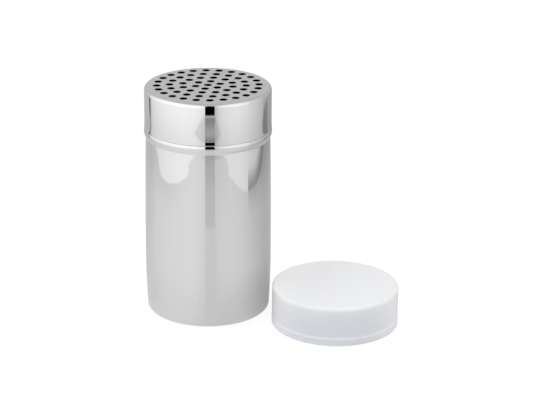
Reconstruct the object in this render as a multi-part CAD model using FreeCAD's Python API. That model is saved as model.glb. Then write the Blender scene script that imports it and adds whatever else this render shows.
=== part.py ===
import FreeCAD, Part
import math
import os

# A stainless steel spice shaker: a drawn can, a perforated lid that pushes onto the can's neck,
# and a thin plastic cap that closes the lid, here taken off and standing beside the can.
# Millimetres. The origin is the centre of the can's base, +Z is up, and the cap stands along +X.

# Can: one drawn sheet. Its wall starts at the base as wide as the neck, swells to the belly, low
# down, and draws in again to the bead.
neck_r = 34.4
can_sheet = 0.5
base_corner_r = 2.5
belly_swell = 0.8
belly_z = 32.0

# Bead: a ring rolled outwards between the wall and the neck, where the lid stops
bead_z = 104.6
bead_proud = 0.95
bead_drop = 3.6
bead_rise = 2.0
bead_foot_r = 1.5

# Neck: the plain upper stretch of the can that the lid slides over
neck_h = 17.5

# Lid: one pressed sheet with a flat top, and a skirt that flares at its lower edge
lid_sheet = 0.5
lid_clearance = 0.1
lid_dip = 0.1
lid_headroom = 5.4
lid_shoulder_r = 2.5
flare_h = 2.2
flare_out = 0.25

# Holes in the lid: one at the centre, then rings of six, twelve, eighteen and twenty-four
hole_r = 2.0
hole_margin = 2.5
ring_count = 4
first_ring_holes = 6
pattern_turn_deg = 36.0

# Cap: a thin, soft moulding with a thicker band round its mouth. Its bore is smaller than the lid
# in radius by the grip, and it stretches on.
cap_grip = 0.3
cap_wall = 0.4
cap_top = 0.8
cap_h = 21.8
cap_edge_r = 1.5
cap_inner_bevel = 0.8
band_h = 4.2
band_proud = 0.1
cap_gap = 4.1

# The bends and holes are small, so each is a run of flats, which keeps the thin pieces light
corner_flat_count = 3
foot_flat_count = 1
bead_flat_count = 2
hole_flat_count = 12

# How far a cutting solid runs past the faces that it cuts
overrun = 1.0

# Sizes and places that follow from those above
base_r = neck_r
belly_r = neck_r + belly_swell
bead_r = neck_r + bead_proud
bead_foot_z = bead_z - bead_drop
neck_foot_z = bead_z + bead_rise
neck_top_z = neck_foot_z + neck_h
lid_r = neck_r + lid_clearance + lid_sheet
lid_edge_z = neck_foot_z - lid_dip
lid_top_z = neck_top_z + lid_headroom + lid_sheet
ring_pitch = (lid_r - lid_shoulder_r - hole_margin - hole_r) / ring_count
cap_bore_r = lid_r - cap_grip
cap_bore_h = cap_h - cap_top
cap_wall_r = cap_bore_r + cap_wall
band_r = cap_wall_r + band_proud
cap_x = belly_r + cap_gap + band_r

UP = FreeCAD.Vector(0, 0, 1)


def point(r, z):
    return FreeCAD.Vector(r, 0, z)


def chain(points):
    """Straight edges from point to point."""
    return Part.makePolygon(points).Edges


def arc(start, middle, end):
    return Part.Arc(start, middle, end).toShape()


def bend(centre, radius, start_deg, end_deg, flats):
    """Points along an arc in the XZ plane, where zero degrees points along +X and ninety up."""
    step = (end_deg - start_deg) / flats
    turns = [math.radians(start_deg + n * step) for n in range(flats + 1)]
    return [centre + radius * point(math.cos(turn), math.sin(turn)) for turn in turns]


def turned(points):
    """The solid that a closed outline, given as its corners, sweeps in one turn about Z."""
    outline = Part.makePolygon(points + points[:1])
    return Part.Face(outline).revolve(point(0, 0), UP, 360)


def pressed(edges, sheet):
    """One sheet turned about Z: the edges are its outside, in order up the piece."""
    section = Part.Wire(edges).makeOffset2D(sheet, join=2, fill=True, openResult=True)
    return section.revolve(point(0, 0), UP, 360)


def bead_points():
    """The bead from its foot to the neck: two bends in an S, then a third back to the neck."""
    lean = 2 * math.atan(bead_proud / bead_drop)
    lean_deg = math.degrees(lean)
    under_r = bead_drop / math.sin(lean) - bead_foot_r
    over_r = (bead_proud ** 2 + bead_rise ** 2) / (2 * bead_proud)
    over_deg = math.degrees(math.asin(bead_rise / over_r))
    foot_centre = point(neck_r + bead_foot_r, bead_foot_z)
    foot = bend(foot_centre, bead_foot_r, 180, 180 - lean_deg, foot_flat_count)
    under = bend(point(bead_r - under_r, bead_z), under_r, -lean_deg, 0, bead_flat_count)
    over = bend(point(bead_r - over_r, bead_z), over_r, 0, over_deg, bead_flat_count)
    return foot + under[1:] + over[1:]


def half_wall(r, z):
    """The arc of the wall from its end at a radius and height to the belly, where it is upright."""
    inset, reach = belly_r - r, z - belly_z
    radius = (inset ** 2 + reach ** 2) / (2 * inset)
    turn = math.asin(reach / radius) / 2
    middle = point(belly_r - radius * (1 - math.cos(turn)), belly_z + radius * math.sin(turn))
    return arc(point(r, z), middle, point(belly_r, belly_z))


def make_shaker_body():
    """The can: flat base, bent corner, barrelled wall, bead and neck, all of one sheet."""
    corner_centre = point(base_r - base_corner_r, base_corner_r)
    corner = bend(corner_centre, base_corner_r, -90, 0, corner_flat_count)
    bead = bead_points()
    wall = [half_wall(base_r, base_corner_r), half_wall(neck_r, bead_foot_z)]
    base = chain([point(0, 0)] + corner)
    return pressed(base + wall + chain(bead + [point(neck_r, neck_top_z)]), can_sheet)


def hole_places():
    """The centre of each hole: ring k has k times as many holes as the first ring."""
    places = [point(0, 0)]
    for ring in range(1, ring_count + 1):
        holes = first_ring_holes * ring
        for n in range(holes):
            turn = math.radians(pattern_turn_deg + 360 * n / holes)
            reach = ring_pitch * ring
            places.append(FreeCAD.Vector(reach * math.cos(turn), reach * math.sin(turn), 0))
    return places


def make_punch():
    """The prism that cuts the hole on the axis, as wide across its flats as the hole."""
    corner_r = hole_r / math.cos(math.pi / hole_flat_count)
    turns = [2 * math.pi * n / hole_flat_count for n in range(hole_flat_count + 1)]
    corners = [corner_r * FreeCAD.Vector(math.cos(turn), math.sin(turn), 0) for turn in turns]
    foot = Part.Face(Part.makePolygon(corners)).translated(point(0, lid_top_z - lid_sheet - overrun))
    return foot.extrude((lid_sheet + 2 * overrun) * UP)


def make_perforated_lid():
    """The lid: a flat top, bent shoulder and flared skirt of one sheet, then punched."""
    skirt = [point(lid_r + flare_out, lid_edge_z), point(lid_r, lid_edge_z + flare_h)]
    shoulder_centre = point(lid_r - lid_shoulder_r, lid_top_z - lid_shoulder_r)
    shoulder = bend(shoulder_centre, lid_shoulder_r, 0, 90, corner_flat_count)
    sheet = pressed(chain(skirt + shoulder + [point(0, lid_top_z)]), lid_sheet)
    punch = make_punch()
    punches = [punch.translated(place) for place in hole_places()]
    return sheet.cut(Part.makeCompound(punches)).Solids[0]


def make_plastic_cap():
    """The cap, mouth down: a turned form with a band and a bent top edge, less its bore."""
    band = [point(band_r, 0), point(band_r, band_h), point(cap_wall_r, band_h)]
    edge_centre = point(cap_wall_r - cap_edge_r, cap_h - cap_edge_r)
    edge = bend(edge_centre, cap_edge_r, 0, 90, corner_flat_count)
    form = turned([point(0, 0)] + band + edge + [point(0, cap_h)])
    bore_side = [point(cap_bore_r, -overrun), point(cap_bore_r, cap_bore_h - cap_inner_bevel)]
    bore_end = [point(cap_bore_r - cap_inner_bevel, cap_bore_h), point(0, cap_bore_h)]
    bore = turned([point(0, -overrun)] + bore_side + bore_end)
    return form.cut(bore).Solids[0].translated(point(cap_x, 0))


def main():
    os.makedirs("parts", exist_ok=True)
    pieces = {
        "shaker_body": make_shaker_body(),
        "perforated_lid": make_perforated_lid(),
        "plastic_cap": make_plastic_cap(),
    }
    for name, shape in pieces.items():
        shape.exportStep(f"parts/{name}.step")
        print(name, shape.ShapeType, shape.isValid(), round(shape.Volume, 2), shape.BoundBox)


main()
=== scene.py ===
import bmesh
import bpy
import math
from mathutils import Matrix, Vector


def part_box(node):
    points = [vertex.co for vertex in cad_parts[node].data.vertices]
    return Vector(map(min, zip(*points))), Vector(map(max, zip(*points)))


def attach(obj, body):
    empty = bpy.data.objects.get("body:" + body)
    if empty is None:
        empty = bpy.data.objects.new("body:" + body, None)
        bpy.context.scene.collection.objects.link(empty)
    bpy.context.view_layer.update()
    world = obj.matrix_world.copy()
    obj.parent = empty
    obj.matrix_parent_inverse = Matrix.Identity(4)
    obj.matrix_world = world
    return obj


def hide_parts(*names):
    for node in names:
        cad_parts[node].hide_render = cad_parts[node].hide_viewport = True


# A stainless steel spice shaker: a drawn can, its perforated push-on lid, and the thin plastic
# cap that closes the lid, taken off and standing beside the can. The outlines are drawn in
# millimetres and made metres when a piece is finished.
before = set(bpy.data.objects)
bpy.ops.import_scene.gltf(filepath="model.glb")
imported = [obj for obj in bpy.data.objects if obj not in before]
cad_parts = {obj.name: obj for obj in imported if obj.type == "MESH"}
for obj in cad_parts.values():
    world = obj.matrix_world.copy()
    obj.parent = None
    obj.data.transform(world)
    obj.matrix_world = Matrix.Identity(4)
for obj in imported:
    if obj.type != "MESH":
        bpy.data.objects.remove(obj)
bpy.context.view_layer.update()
MM = 0.001

body_low, body_high = (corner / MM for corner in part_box("shaker_body"))
lid_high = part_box("perforated_lid")[1] / MM
cap_low, cap_high = (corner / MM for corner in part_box("plastic_cap"))

# Can
can_sheet = 0.5
neck_r = 34.4
neck_top_z = body_high.z
base_r = 34.4
base_corner_r = 2.5
belly_r = 35.2
belly_z = 32.0
bead_r = -body_low.x
bead_z = 104.6
bead_foot_z = 101.0
bead_foot_r = 1.5
neck_foot_z = 106.6
rim_roll = 0.1

# Lid
lid_sheet = 0.5
lid_r = 35.0
lid_top_z = lid_high.z
lid_edge_z = 106.5
lid_shoulder_r = 2.5
flare_h = 6.8
flare_lip_h = 2.0
flare_lean = 0.0236
flare_lip_lean = 0.1
hole_r = 2.0
hole_sides = 32
edge_roll = 0.06
hole_roll = 0.16
ring_pitch = 7.0
ring_count = 4
first_ring_holes = 6
pattern_turn_deg = 36.0

# Cap
cap_x = (cap_low.x + cap_high.x) / 2
band_r = (cap_high.x - cap_low.x) / 2
band_h = 3.6
ledge_h = 0.8
cap_wall_r = 35.1
cap_h = cap_high.z
cap_edge_r = 1.5
cap_bore_r = 34.7
cap_bore_h = 21.0
cap_inner_r = 0.8

# How finely the pieces are turned, how near a bend a straight stretch gets its holding ring, and
# how close two points are when they count as one
turn_steps = 192
hold = 0.12
touch = 1e-3

# Tones of the finishes; a pair is a steel's darkest and lightest grey
can_greys = (0.70, 0.74)
lid_greys = (0.66, 0.79)
speck_grey = 0.30
# Painted shade: the inside under the lid is near black as shade, not as the steel's colour
painted_shade_under_lid_greys = (0.04, 0.08)
deep_inside_grey = 0.34
# Painted shade: the hole walls are black as shade, not as steel
painted_shade_hole_grey = 0.002
# Painted light and shade: the cap's wall colour is a shaded copy and its top colour a lit copy of
# its white plastic, and the near-can colour is painted light
cap_shaded_wall_colour = (0.615, 0.634, 0.69, 1)
cap_lit_top_colour = (0.842, 0.85, 0.87, 1)
cap_painted_light_colour = (0.985, 0.985, 0.99, 1)


class Outline:
    """Half of a turned piece's section, drawn in the XZ plane by straight runs and bends."""

    def __init__(self, r, z):
        self.bm = bmesh.new()
        self.tip = self.bm.verts.new((r, 0, z))

    def to(self, r, z):
        """A straight run to a radius and height."""
        grown = bmesh.ops.extrude_vert_indiv(self.bm, verts=[self.tip])
        self.tip = grown["verts"][0]
        self.tip.co = (r, 0, z)
        return self

    def bend(self, centre_r, centre_z, degrees, steps):
        """A bend about a centre; a positive one turns to the left."""
        swept = bmesh.ops.spin(self.bm, geom=[self.tip], cent=(centre_r, 0, centre_z),
                               axis=(0, -1, 0), angle=math.radians(degrees), steps=steps)
        self.tip = swept["geom_last"][0]
        return self

    def lean(self, radius, lean, lean_after, steps):
        """A bend with its centre outside, from one lean outwards to a lesser one, in radians."""
        centre_r = self.tip.co.x + radius * math.cos(lean)
        centre_z = self.tip.co.z + radius * math.sin(lean)
        return self.bend(centre_r, centre_z, math.degrees(lean_after - lean), steps)

    def steady(self):
        """A holding point at each end of the straight runs, so that shading stays flat between."""
        for edge in [edge for edge in self.bm.edges if edge.calc_length() > 4 * hold]:
            part = hold / edge.calc_length()
            cut = bmesh.ops.bisect_edges(self.bm, edges=[edge], cuts=1, edge_percents={edge: part})
            far = max((item for item in cut["geom_split"] if isinstance(item, bmesh.types.BMEdge)),
                      key=lambda item: item.calc_length())
            part = hold / far.calc_length()
            bmesh.ops.bisect_edges(self.bm, edges=[far], cuts=1, edge_percents={far: 1 - part})
        return self

    def turned(self, centre_x=0.0):
        """The outline turned once about the piece's axis, with its seam and poles closed."""
        bmesh.ops.spin(self.bm, geom=self.bm.verts[:] + self.bm.edges[:], cent=(0, 0, 0),
                       axis=(0, 0, 1), angle=2 * math.pi, steps=turn_steps, use_merge=True)
        bmesh.ops.remove_doubles(self.bm, verts=self.bm.verts, dist=touch)
        bmesh.ops.recalc_face_normals(self.bm, faces=self.bm.faces)
        bmesh.ops.translate(self.bm, vec=(centre_x, 0, 0), verts=self.bm.verts)
        return self.bm


def thicken(bm, sheet):
    """Gives a skin its sheet, inwards, and the new inner side and edges the second material."""
    skin = set(bm.faces)
    bmesh.ops.solidify(bm, geom=bm.faces[:], thickness=sheet)
    for face in bm.faces:
        face.material_index = 0 if face in skin else 1


def sharp_edges(bm):
    """The edges at which a piece turns by more than a radian."""
    return [edge for edge in bm.edges if edge.calc_face_angle(0) > 1]


def soften(bm, edges, width):
    """Rounds edges over a small width. Returns the new faces."""
    rounded = bmesh.ops.bevel(bm, geom=edges, offset=width, offset_type="OFFSET", segments=2,
                              profile=0.5, affect="EDGES", clamp_overlap=True, material=-1)
    return rounded["faces"]


def finished(bm, name, body, node, slot_name, *materials, crease_deg=35):
    """The piece as an object in metres that stands for its CAD solid."""
    bmesh.ops.scale(bm, vec=(MM, MM, MM), verts=bm.verts)
    for face in bm.faces:
        face.smooth = True
    for edge in bm.edges:
        edge.smooth = edge.calc_face_angle(0) < math.radians(crease_deg)
    mesh = bpy.data.meshes.new(name)
    bm.to_mesh(mesh)
    bm.free()
    for material in materials:
        mesh.materials.append(material)
    piece = bpy.data.objects.new(name, mesh)
    bpy.context.scene.collection.objects.link(piece)
    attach(piece, body)
    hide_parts(node)
    return piece


def drawn_can(material, inside):
    """The can: one sheet, from the middle of its base up to the rim of its neck."""
    outline = Outline(0, 0).to(base_r - base_corner_r, 0)
    outline.bend(base_r - base_corner_r, base_corner_r, 90, 10)
    halves = [(belly_r - base_r, belly_z - base_corner_r),
              (belly_r - neck_r, bead_foot_z - belly_z)]
    for inset, reach in halves:
        radius = (inset ** 2 + reach ** 2) / (2 * inset)
        outline.bend(belly_r - radius, belly_z, math.degrees(math.asin(reach / radius)), 24)
    proud, drop, rise = bead_r - neck_r, bead_z - bead_foot_z, neck_foot_z - bead_z
    lean = 2 * math.atan(proud / drop)
    under_r = drop / math.sin(lean) - bead_foot_r
    over_r = (proud ** 2 + rise ** 2) / (2 * proud)
    over_deg = math.degrees(math.asin(rise / over_r))
    outline.bend(neck_r + bead_foot_r, bead_foot_z, -math.degrees(lean), 6)
    outline.bend(bead_r - under_r, bead_z, math.degrees(lean), 8)
    outline.bend(bead_r - over_r, bead_z, over_deg, 10)
    outline.to(neck_r, neck_top_z)
    bm = outline.steady().turned()
    thicken(bm, can_sheet)
    rim = [edge for edge in sharp_edges(bm)
           if all(vert.co.z > neck_top_z - touch for vert in edge.verts)]
    soften(bm, rim, rim_roll)
    return finished(bm, "drawn_can", "can", "shaker_body", "can_steel", material, inside)


def hole_places():
    """The centre of each hole: ring k has k times as many holes as the first ring."""
    places = [Vector((0, 0, lid_top_z))]
    for ring in range(1, ring_count + 1):
        holes = first_ring_holes * ring
        for n in range(holes):
            turn = math.radians(pattern_turn_deg + 360 * n / holes)
            reach = ring_pitch * ring
            places.append(Vector((reach * math.cos(turn), reach * math.sin(turn), lid_top_z)))
    return places


def perforated_lid(material, inside):
    """The lid: skirt and shoulder turned, the top filled in round its holes, then made a sheet."""
    leaning_h = flare_h - flare_lip_h
    lip_r = flare_lip_h / (flare_lip_lean - flare_lean)
    skirt_r = leaning_h / flare_lean
    start_r = lid_r + leaning_h * flare_lean / 2 + flare_lip_h * (flare_lean + flare_lip_lean) / 2
    outline = Outline(start_r, lid_edge_z)
    outline.lean(lip_r, flare_lip_lean, flare_lean, 8)
    outline.lean(skirt_r, flare_lean, 0, 8)
    outline.to(lid_r, lid_top_z - lid_shoulder_r)
    outline.bend(lid_r - lid_shoulder_r, lid_top_z - lid_shoulder_r, 90, 12)
    outline.to(lid_r - lid_shoulder_r - hold, lid_top_z)
    bm = outline.steady().turned()
    top = [edge for edge in bm.edges if edge.is_boundary and edge.verts[0].co.z > lid_top_z - touch]
    for place in hole_places():
        ring = bmesh.ops.create_circle(bm, segments=hole_sides, radius=hole_r,
                                       matrix=Matrix.Translation(place))
        top += list({edge for vert in ring["verts"] for edge in vert.link_edges})
    bmesh.ops.triangle_fill(bm, edges=top, use_beauty=True, use_dissolve=False,
                            normal=(0, 0, 1))
    bmesh.ops.recalc_face_normals(bm, faces=bm.faces)
    thicken(bm, lid_sheet)
    for face in bm.faces:
        if all(vert.co.z < lid_edge_z + touch for vert in face.verts):
            face.material_index = 0
    hole_edges = [edge for edge in sharp_edges(bm) if edge.verts[0].co.z > lid_top_z - touch]
    # The rolled hole edges take the inside material, whose painted shade makes them black
    for face in soften(bm, hole_edges, hole_roll):
        face.material_index = 1
    soften(bm, sharp_edges(bm), edge_roll)
    return finished(bm, "perforated_lid_steel", "lid", "perforated_lid", "lid_steel",
                    material, inside)


def plastic_cap(material):
    """The cap, mouth down: its outside from the middle of the top, then its bore back there."""
    outline = Outline(0, cap_h).to(cap_wall_r - cap_edge_r, cap_h)
    outline.bend(cap_wall_r - cap_edge_r, cap_h - cap_edge_r, -90, 10)
    outline.to(cap_wall_r, band_h + ledge_h).to(band_r, band_h).to(band_r, 0).to(cap_bore_r, 0)
    outline.to(cap_bore_r, cap_bore_h - cap_inner_r)
    outline.bend(cap_bore_r - cap_inner_r, cap_bore_h - cap_inner_r, 90, 6)
    outline.to(0, cap_bore_h)
    bm = outline.steady().turned(cap_x)
    return finished(bm, "plastic_cap_moulding", "cap", "plastic_cap", "cap_plastic", material)


class Field:
    """A shader socket whose value varies over a surface. Arithmetic on it adds the Math nodes."""

    def __init__(self, finish, socket):
        self.finish = finish
        self.socket = socket

    def maths(self, operation, *values):
        return self.finish.node("Math", {"operation": operation}, dict(enumerate(values)))

    def __add__(self, other):
        return self.maths("ADD", self, other)

    def __sub__(self, other):
        return self.maths("SUBTRACT", self, other)

    def __rsub__(self, other):
        return self.maths("SUBTRACT", other, self)

    def __mul__(self, other):
        return self.maths("MULTIPLY", self, other)

    __radd__ = __add__
    __rmul__ = __mul__

    def above(self, low, high):
        """0 under low, 1 over high, and a smooth rise between."""
        settings = {"interpolation_type": "SMOOTHSTEP"}
        sockets = {"Value": self, "From Min": low, "From Max": high}
        return self.finish.node("MapRange", settings, sockets)

    def between(self, low, high, soft):
        """1 from low to high, and 0 outside, with soft edges."""
        return self.above(low - soft, low + soft) * (1 - self.above(high - soft, high + soft))

    def follow(self, *stops):
        """A number that goes smoothly through stops, each a value of this field and its number."""
        low, high = stops[0][0], stops[-1][0]
        colours = [((value - low) / (high - low), grey(number)) for value, number in stops]
        sockets = {"Value": self, "From Min": low, "From Max": high}
        share = self.finish.node("MapRange", {}, sockets)
        return self.finish.node("ValToRGB", {"stops": colours}, {"Fac": share})


class Finish:
    """A material and the one way in which its nodes are added."""

    def __init__(self, name, owner=None):
        self.owner = owner or bpy.data.materials.new(name)
        self.owner.use_nodes = True
        self.tree = self.owner.node_tree
        self.tree.nodes.clear()

    def node(self, kind, settings=None, sockets=None, output=0):
        """Adds a node: its settings, then its sockets' values or links. Returns one output."""
        node = self.tree.nodes.new("ShaderNode" + kind)
        for name, value in (settings or {}).items():
            if name == "stops":
                elements = node.color_ramp.elements
                elements[0].color, elements[-1].color = value[0][1], value[-1][1]
                for position, colour in value[1:-1]:
                    elements.new(position).color = colour
            else:
                setattr(node, name, value)
        for name, value in (sockets or {}).items():
            if isinstance(value, Field):
                self.tree.links.new(value.socket, node.inputs[name])
            else:
                node.inputs[name].default_value = value
        return Field(self, node.outputs[output]) if node.outputs else None

    def place(self, scale=(1, 1, 1), turn_deg=0.0):
        """The piece's own coordinates in millimetres over scale, turned about the upright axis."""
        sockets = {"Vector": self.node("TexCoord", output="Object"),
                   "Rotation": (0, 0, math.radians(turn_deg)),
                   "Scale": tuple(1 / (MM * size) for size in scale)}
        return self.node("Mapping", {}, sockets)

    def split(self, vector):
        """The three parts of a vector."""
        return [Field(self, socket)
                for socket in self.node("SeparateXYZ", {}, {"Vector": vector}).socket.node.outputs]

    def noise(self, scale, detail=2.0, roughness=0.5):
        """Noise from 0 to 1 whose grains are about as wide as scale, in millimetres each way."""
        sockets = {"Vector": self.place(scale), "Scale": 1.0, "Detail": detail,
                   "Roughness": roughness}
        return self.node("TexNoise", {}, sockets)

    def blend(self, factor, low, high):
        """One colour where the factor is 0, and another where it is 1."""
        return self.node("Mix", {"data_type": "RGBA"}, {0: factor, 6: low, 7: high}, output=2)

    def bump(self, height, strength, distance_mm):
        """Normals for a height field whose full height is a distance in millimetres."""
        sockets = {"Height": height, "Strength": strength, "Distance": distance_mm * MM}
        return self.node("Bump", {}, sockets)

    def surface(self, shader):
        """Puts a shader on the surface, and returns what it belongs to."""
        kind = "OutputWorld" if isinstance(self.owner, bpy.types.World) else "OutputMaterial"
        self.node(kind, {}, {"Surface": shader})
        return self.owner


def grey(value):
    return (value, value, value, 1.0)


def can_finish():
    """Polished stainless steel with a faint vertical grain, and a few specks near its foot."""
    finish = Finish("can_polished_steel")
    height = finish.split(finish.place())[2]
    streaks = finish.noise((2.2, 2.2, 60.0), 3.0, 0.6)
    grain = finish.noise((0.35, 0.35, 1.2), 3.0, 0.6)
    near_foot = 1 - height.above(14.0, 26.0)
    specks = finish.noise((1.3, 1.3, 1.0), 1.0, 0.5).above(0.71, 0.78) * near_foot
    steel = finish.blend(streaks * 0.7 + grain * 0.3, *map(grey, can_greys))
    colour = finish.blend(specks * 0.6, steel, grey(speck_grey))
    wall = 1 - height.above(bead_foot_z - 5.0, bead_foot_z + 0.5)
    roughness = 0.02 + wall * (streaks * 0.02 + grain * 0.015) + specks * 0.1
    normal = finish.bump(grain * 0.5 + streaks, 0.2, 0.002)
    sockets = {"Base Color": colour, "Metallic": 1.0, "Roughness": roughness, "Normal": normal}
    return finish.surface(finish.node("BsdfPrincipled", {}, sockets))


def lid_finish():
    """Mirror-polished skirt, darker towards its edge as painted shade, and a satin top with a ring
    of painted shade where it bends into the shoulder."""
    finish = Finish("lid_polished_steel")
    height = finish.split(finish.place())[2]
    top = height.above(lid_top_z - 1.6, lid_top_z - 1.0)
    grain = finish.noise((0.45, 0.45, 0.45), 3.0, 0.7)
    lines = finish.noise((30.0, 30.0, 0.35), 2.0, 0.6)
    # Painted shade: a darker ring in the colour where the top bends into the shoulder
    painted_shade_ring = height.between(lid_top_z - 1.0, lid_top_z - 0.25, 0.15)
    # Painted shade: the skirt's colour gets darker towards its lower edge, and darker still in the
    # ring
    painted_shade = height.above(lid_edge_z - 2.5, lid_top_z - 2.0) * 0.75 - painted_shade_ring * 1.1
    colour = finish.blend((grain * 0.5 + 0.35) * top + lines * 0.2 + painted_shade, *map(grey, lid_greys))
    roughness = 0.01 + lines * 0.01 + top * (0.26 + grain * 0.16)
    normal = finish.bump(grain * top, 0.5, 0.01)
    sockets = {"Base Color": colour, "Metallic": 1.0, "Roughness": roughness, "Normal": normal}
    return finish.surface(finish.node("BsdfPrincipled", {}, sockets))


def inside_finish():
    """The unpolished inside of the can and lid: dull drawn steel, with painted shade that makes it
    dark under the lid and black in the holes."""
    finish = Finish("inside_dull_steel")
    streaks = finish.noise((1.5, 1.5, 25.0), 3.0, 0.6)
    grain = finish.noise((0.3, 0.3, 0.3), 3.0, 0.6)
    height = finish.split(finish.place())[2]
    underside_z = lid_top_z - lid_sheet
    # Painted shade: the hole walls and rolled hole edges are made black and not metal
    painted_shade_hole_wall = height.above(underside_z - 0.02, underside_z + 0.02)
    # Painted shade: near black close to the lid, the dull steel grey deeper down
    steel = finish.blend(streaks, *map(grey, painted_shade_under_lid_greys))
    steel = finish.blend(1 - height.above(60.0, 100.0), steel, grey(deep_inside_grey))
    colour = finish.blend(painted_shade_hole_wall, steel, grey(painted_shade_hole_grey))
    sockets = {"Base Color": colour, "Metallic": 1 - painted_shade_hole_wall, "Roughness": 0.42 + grain * 0.14,
               "Specular IOR Level": 0.0, "Normal": finish.bump(grain, 0.4, 0.01)}
    return finish.surface(finish.node("BsdfPrincipled", {}, sockets))


def cap_finish():
    """Thin translucent white plastic, satin, with light and shade painted into its colour: a
    painted shade ramp makes the wall bluer and darker than the top, with a painted highlight in the
    ledge over the band, a painted sheen where the wall is seen edge on, and painted light by the
    can."""
    finish = Finish("cap_translucent_plastic")
    across, _, height = finish.split(finish.place())
    flow = finish.noise((14.0, 14.0, 6.0), 3.0, 0.5)
    grain = finish.noise((0.3, 0.3, 0.3), 2.0, 0.6)
    # Painted light and shade over height: a darker wall, a painted highlight in the ledge over the
    # band, and lighter towards the top
    shade = height.follow((0, 0.14), (2.8, 0.07), (band_h, 0.32), (band_h + 0.4, 0.62),
                          (band_h + 0.9, 0.40), (5.4, 0.04), (9, 0.03), (16, 0.14), (19, 0.27),
                          (20, 0.44), (20.8, 0.70), (21.3, 0.70), (cap_h, 0.88))
    # Painted sheen: the colour gets paler where the surface is seen edge on
    painted_sheen = finish.node("LayerWeight", {}, {"Blend": 0.5}, output="Facing").above(0.1, 0.75)
    shade = shade + painted_sheen * 0.8 + (flow - 0.5) * 0.12
    colour = finish.blend(shade, cap_shaded_wall_colour, cap_lit_top_colour)
    # Painted light: the colour is paler on the half next to the can, a little on the wall and most
    # on the top, to even out the can's shade
    painted_light_near_can = (1 - across.above(cap_x - 40, cap_x - 8)) * (0.14 + height.above(20.0, 21.5) * 0.76)
    colour = finish.blend(painted_light_near_can, colour, cap_painted_light_colour)
    roughness = 0.36 + grain * 0.1 + flow * 0.05
    normal = finish.bump(grain * 0.4 + flow, 0.25, 0.02)
    sockets = {"Base Color": colour, "Roughness": roughness, "Normal": normal, "IOR": 1.5,
               "Subsurface Weight": 0.25, "Subsurface Scale": 0.001,
               "Subsurface Radius": (1.0, 1.1, 1.3)}
    return finish.surface(finish.node("BsdfPrincipled", {}, sockets))


# The photograph's camera, seen from above the can's axis: to its front and a little to the right
camera_turn_deg = 18.948
camera_distance = 0.996219
camera_height = 0.434871
camera_heading_deg = 17.008
camera_tilt_deg = 20.625
camera_roll_deg = 0.515
focal_length_px = 1900.0
photo_width_px = 537

# The studio's front gap, between the two cards: its two sides, and where the table ends in it
gap_left_deg = -5.1
gap_right_deg = 11.4
table_edge_mm = 417.0
card_height = 0.5

# Where the cards stand on the table: angles, and distances in millimetres
left_foot = [(-118.8, 347), (-110, 343), (-104.3, 338), (-99.6, 321), (-97, 306), (-93.6, 290),
             (-89, 282), (-83.4, 279), (-76.8, 276.5), (-71.4, 276.5), (-62.5, 281), (-51.6, 289),
             (-44.3, 298), (-38.3, 307), (-34.3, 317), (-34, 338), (-32.5, 348), (-30, 355),
             (-24.3, 363), (-21, 369), (-18, 376), (-14.5, 385), (-11, 394), (gap_left_deg, 409)]
right_foot = [(gap_right_deg, 404), (13.7, 390), (17.5, 378), (21, 372), (26, 369), (29.3, 366),
              (31.9, 358), (33.2, 350), (34.5, 338), (34.2, 322), (35.8, 312), (40.8, 302),
              (45.8, 291), (51, 282), (55.1, 274), (60.6, 266), (66.2, 260), (72.8, 256)]
panel_foot = [(72.8, 257), (79.7, 258), (86.5, 259), (93.9, 263), (99.8, 270), (104.1, 277),
              (108.8, 288), (111, 296)]
edge_foot = [(111, 296), (112.3, 301), (115.1, 324), (121, 338), (129.5, 345)]
line_foot = [(-118.8, 348), (-124.5, 348)]
beyond_foot = [(gap_left_deg - 3, 600), (gap_right_deg + 3, 600)]


def spot(azimuth_deg, distance, height=0.0):
    """A point at an angle to the right of the camera's direction, seen from the can's axis."""
    turn = math.radians(camera_turn_deg + azimuth_deg)
    return Vector((distance * math.sin(turn), -distance * math.cos(turn), height))


def make_camera():
    data = bpy.data.cameras.new("camera")
    data.sensor_width = 36.0
    data.lens = data.sensor_width * focal_length_px / photo_width_px
    data.clip_start, data.clip_end = 0.01, 50.0
    camera = bpy.data.objects.new("camera", data)
    camera.matrix_world = (Matrix.Translation(spot(0, camera_distance, camera_height))
                           @ Matrix.Rotation(math.radians(camera_heading_deg), 4, "Z")
                           @ Matrix.Rotation(math.radians(90 - camera_tilt_deg), 4, "X")
                           @ Matrix.Rotation(math.radians(camera_roll_deg), 4, "Z"))
    bpy.context.scene.collection.objects.link(camera)
    bpy.context.scene.camera = camera


def bearing(finish):
    """The angle in degrees to the right of the camera's direction, the distance and the height in
    millimetres, as a surface of the studio lies from the foot of the can's axis."""
    x, y, z = finish.split(finish.place(turn_deg=-camera_turn_deg))
    angle = x.maths("ARCTAN2", x, 0 - y) * (180 / math.pi)
    distance = (x * x + y * y).maths("SQRT", x * x + y * y)
    return angle, distance, z


def staged(bm, name, material):
    """A piece of the studio."""
    mesh = bpy.data.meshes.new(name)
    bm.to_mesh(mesh)
    bm.free()
    mesh.materials.append(material)
    thing = bpy.data.objects.new(name, mesh)
    bpy.context.scene.collection.objects.link(thing)
    return thing


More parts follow.
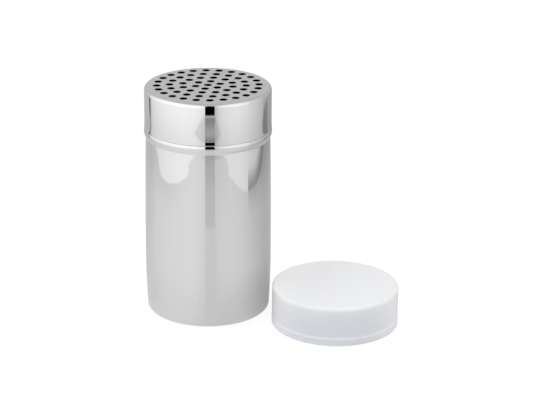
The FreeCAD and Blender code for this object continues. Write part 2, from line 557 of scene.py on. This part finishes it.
def card(name, foot, height, material, lights=True, slant_deg=0.0):
    """A bent card that stands on the table and that the camera doesn't see. Its top can be slanted
    round the can's axis."""
    bm = bmesh.new()
    verts = [bm.verts.new(spot(azimuth_deg, distance * MM)) for azimuth_deg, distance in foot]
    line = [bm.edges.new(pair) for pair in zip(verts, verts[1:])]
    grown = bmesh.ops.extrude_edge_only(bm, edges=line)["geom"]
    top = [item for item in grown if isinstance(item, bmesh.types.BMVert)]
    bmesh.ops.translate(bm, vec=(0, 0, height), verts=top)
    slant = Matrix.Rotation(math.radians(slant_deg), 3, "Z")
    bmesh.ops.rotate(bm, cent=(0, 0, 0), matrix=slant, verts=top)
    thing = staged(bm, name, material)
    thing.visible_camera = thing.visible_shadow = False
    thing.visible_diffuse = lights
    return thing


def glow(finish, strength):
    """A surface of the studio that gives its own light."""
    return finish.node("Emission", {}, {"Color": grey(1.0), "Strength": strength})


def card_finish():
    """White cards, brightest at the front left, and softer at the foot beside the gap."""
    finish = Finish("card_white")
    angle, _, height = bearing(finish)
    side = angle.follow((-120, 0.74), (-114, 0.86), (-105, 0.94), (-92, 1.01), (-78, 1.07),
                        (-62, 1.10), (-48, 1.14), (-35, 1.14), (-22, 1.11), (-14, 1.05),
                        (gap_left_deg, 0.96), (gap_right_deg, 0.55), (14, 0.67), (18, 0.80),
                        (22, 0.88), (28, 0.92), (38, 0.98), (52, 0.98), (67, 0.91), (73, 0.88))
    near_gap = angle.between(-24, 20, 6)
    soft_foot = 1 - near_gap * (1 - height.above(-1, 8)) * 0.24
    return finish.surface(glow(finish, side * soft_foot * (1 + height.above(50, 110) * 0.18)))


def panel_finish():
    """A grey panel beside the right card, in shade at its foot."""
    finish = Finish("panel_grey")
    angle, _, height = bearing(finish)
    side = angle.follow((73, 0.85), (82, 0.80), (95, 0.71), (103, 0.65), (111, 0.58))
    lit = (height - angle.above(88, 110) * 8).above(1, 22)
    return finish.surface(glow(finish, side * (0.48 + lit * 0.52)))


def dark_finish(name, *shades):
    """A dark edge of the studio, whose shade changes with its height."""
    finish = Finish(name)
    return finish.surface(glow(finish, bearing(finish)[2].follow(*shades)))


def floor_finish():
    """A pale table. The camera sees it near white, with the object's shadow; the steel mirrors it
    as a glow of painted light and shade by angle and distance, whose front gap ends at a table edge
    and the dark beyond."""
    finish = Finish("pale_floor")
    angle, distance, _ = bearing(finish)
    seen = finish.node("LightPath", output="Is Camera Ray")
    mirrored = finish.node("LightPath", output="Is Glossy Ray")
    side = angle.follow((-180, 0.66), (-150, 0.67), (-140, 0.68), (-130, 0.72), (-120, 0.755),
                        (-110, 0.80), (-100, 0.86), (-90, 0.885), (-78, 0.91), (-62, 0.93),
                        (-35, 0.955), (-20, 0.935), (-8, 0.885), (11.5, 0.81), (20, 0.85),
                        (38, 0.855), (52, 0.835), (67, 0.77), (80, 0.70), (90, 0.655), (100, 0.62),
                        (110, 0.58), (122, 0.56), (132, 0.55), (142, 0.565), (150, 0.56),
                        (160, 0.50), (180, 0.45))
    near = angle.follow((-180, 0.04), (-125, 0.04), (-110, 0.10), (-98, 0.16), (-85, 0.14),
                        (-62, 0.085), (-35, 0.09), (-8, 0.10), (0, 0.05), (11.5, 0.08), (20, 0.14),
                        (38, 0.18), (52, 0.27), (67, 0.33), (80, 0.35), (90, 0.37), (100, 0.36),
                        (110, 0.32), (120, 0.20), (130, 0.12), (180, 0.04))
    far = angle.follow((-180, 0.10), (-140, 0.12), (-130, 0.14), (-120, 0.17), (-108, 0.12),
                       (-95, 0.17), (-78, 0.19), (-62, 0.14), (-47, 0.06), (-30, -0.02),
                       (-8, -0.02), (12, 0.07), (20, 0.08), (27, 0.05), (38, 0.02), (72.5, 0.05),
                       (73.5, 0.60), (85, 0.60), (100, 0.42), (115, 0.36), (130, 0.26), (145, 0.25),
                       (180, 0.25))
    beside = angle.follow((-180, 0), (-22, 0), (-15, 0.03), (-7, 0.10), (12, 0.25), (15.5, 0.18),
                          (18.5, 0.18), (22, 0.14), (30, 0), (180, 0))
    # Painted shade on the mirrored table: near darkens it by the can's foot, far farther out and
    # most before the right panel, and beside next to the gap
    shaded = (1 - near * (1 - distance.above(20, 125))) * (1 - far * distance.above(185, 345))
    open_table = side * shaded * (1 - beside * distance.above(357, 371))
    gap = angle.between(gap_left_deg, gap_right_deg, 3.0 - distance.above(188, 202) * 2.6)
    gap_table = distance.follow((0, 0.76), (100, 0.78), (194, 0.785), (199, 0.70), (230, 0.67),
                                (265, 0.67), (290, 0.64), (310, 0.60), (345, 0.57), (377, 0.48),
                                (386, 0.42), (394, 0.36), (402, 0.31), (411, 0.30), (412, 0.47),
                                (table_edge_mm, 0.47))
    gap_table = gap_table * (1 - distance.above(table_edge_mm - 0.5, table_edge_mm + 0.5))
    lit = finish.node("BsdfDiffuse", {}, {"Color": grey(0.9)})
    plain = finish.node("MixShader", {}, {0: seen * 0.85, 1: lit, 2: glow(finish, 1.04)})
    table = glow(finish, open_table * (1 - gap) + gap_table * gap)
    return finish.surface(finish.node("MixShader", {}, {0: mirrored, 1: plain, 2: table}))


def world_light():
    world = bpy.data.worlds.new("studio")
    bpy.context.scene.world = world
    finish = Finish("studio", world)
    seen = finish.node("LightPath", output="Is Camera Ray")
    mirrored = finish.node("LightPath", output="Is Glossy Ray")
    sockets = {"Color": grey(1.0), "Strength": 0.8 + seen * 0.2 - mirrored * 0.2}
    finish.surface(finish.node("Background", {}, sockets))


def make_studio():
    world_light()
    bm = bmesh.new()
    bmesh.ops.create_grid(bm, x_segments=1, y_segments=1, size=4.0)
    staged(bm, "floor", floor_finish())
    white = card_finish()
    card("left_card", left_foot, card_height, white)
    card("right_card", right_foot, card_height, white)
    card("right_panel", panel_foot, card_height, panel_finish())
    dark = dark_finish("edge_dark", (0, 0.27), (20, 0.27), (26, 0.45), (30, 0.52))
    card("right_edge", edge_foot, 0.3, dark, lights=False)
    line = dark_finish("edge_line", (0, 0.42), (8, 0.40), (16, 0.13), (36, 0.15), (42, 0.5))
    card("left_edge", line_foot, 0.06, line, lights=False, slant_deg=-8.0)
    black = dark_finish("card_black", (0, 0.003), (900, 0.003))
    card("front_dark", beyond_foot, 0.9, black, lights=False)
    lamp = bpy.data.lights.new("overhead", "AREA")
    lamp.shape, lamp.size, lamp.energy = "SQUARE", 1.0, 2.4
    overhead = bpy.data.objects.new("overhead", lamp)
    overhead.location = (0, 0, 1.0)
    overhead.visible_glossy = False
    bpy.context.scene.collection.objects.link(overhead)


inside = inside_finish()
drawn_can(can_finish(), inside)
perforated_lid(lid_finish(), inside)
plastic_cap(cap_finish()).visible_glossy = False
make_studio()
make_camera()
bpy.context.scene.view_settings.view_transform = "Standard"

bpy.context.view_layer.update()
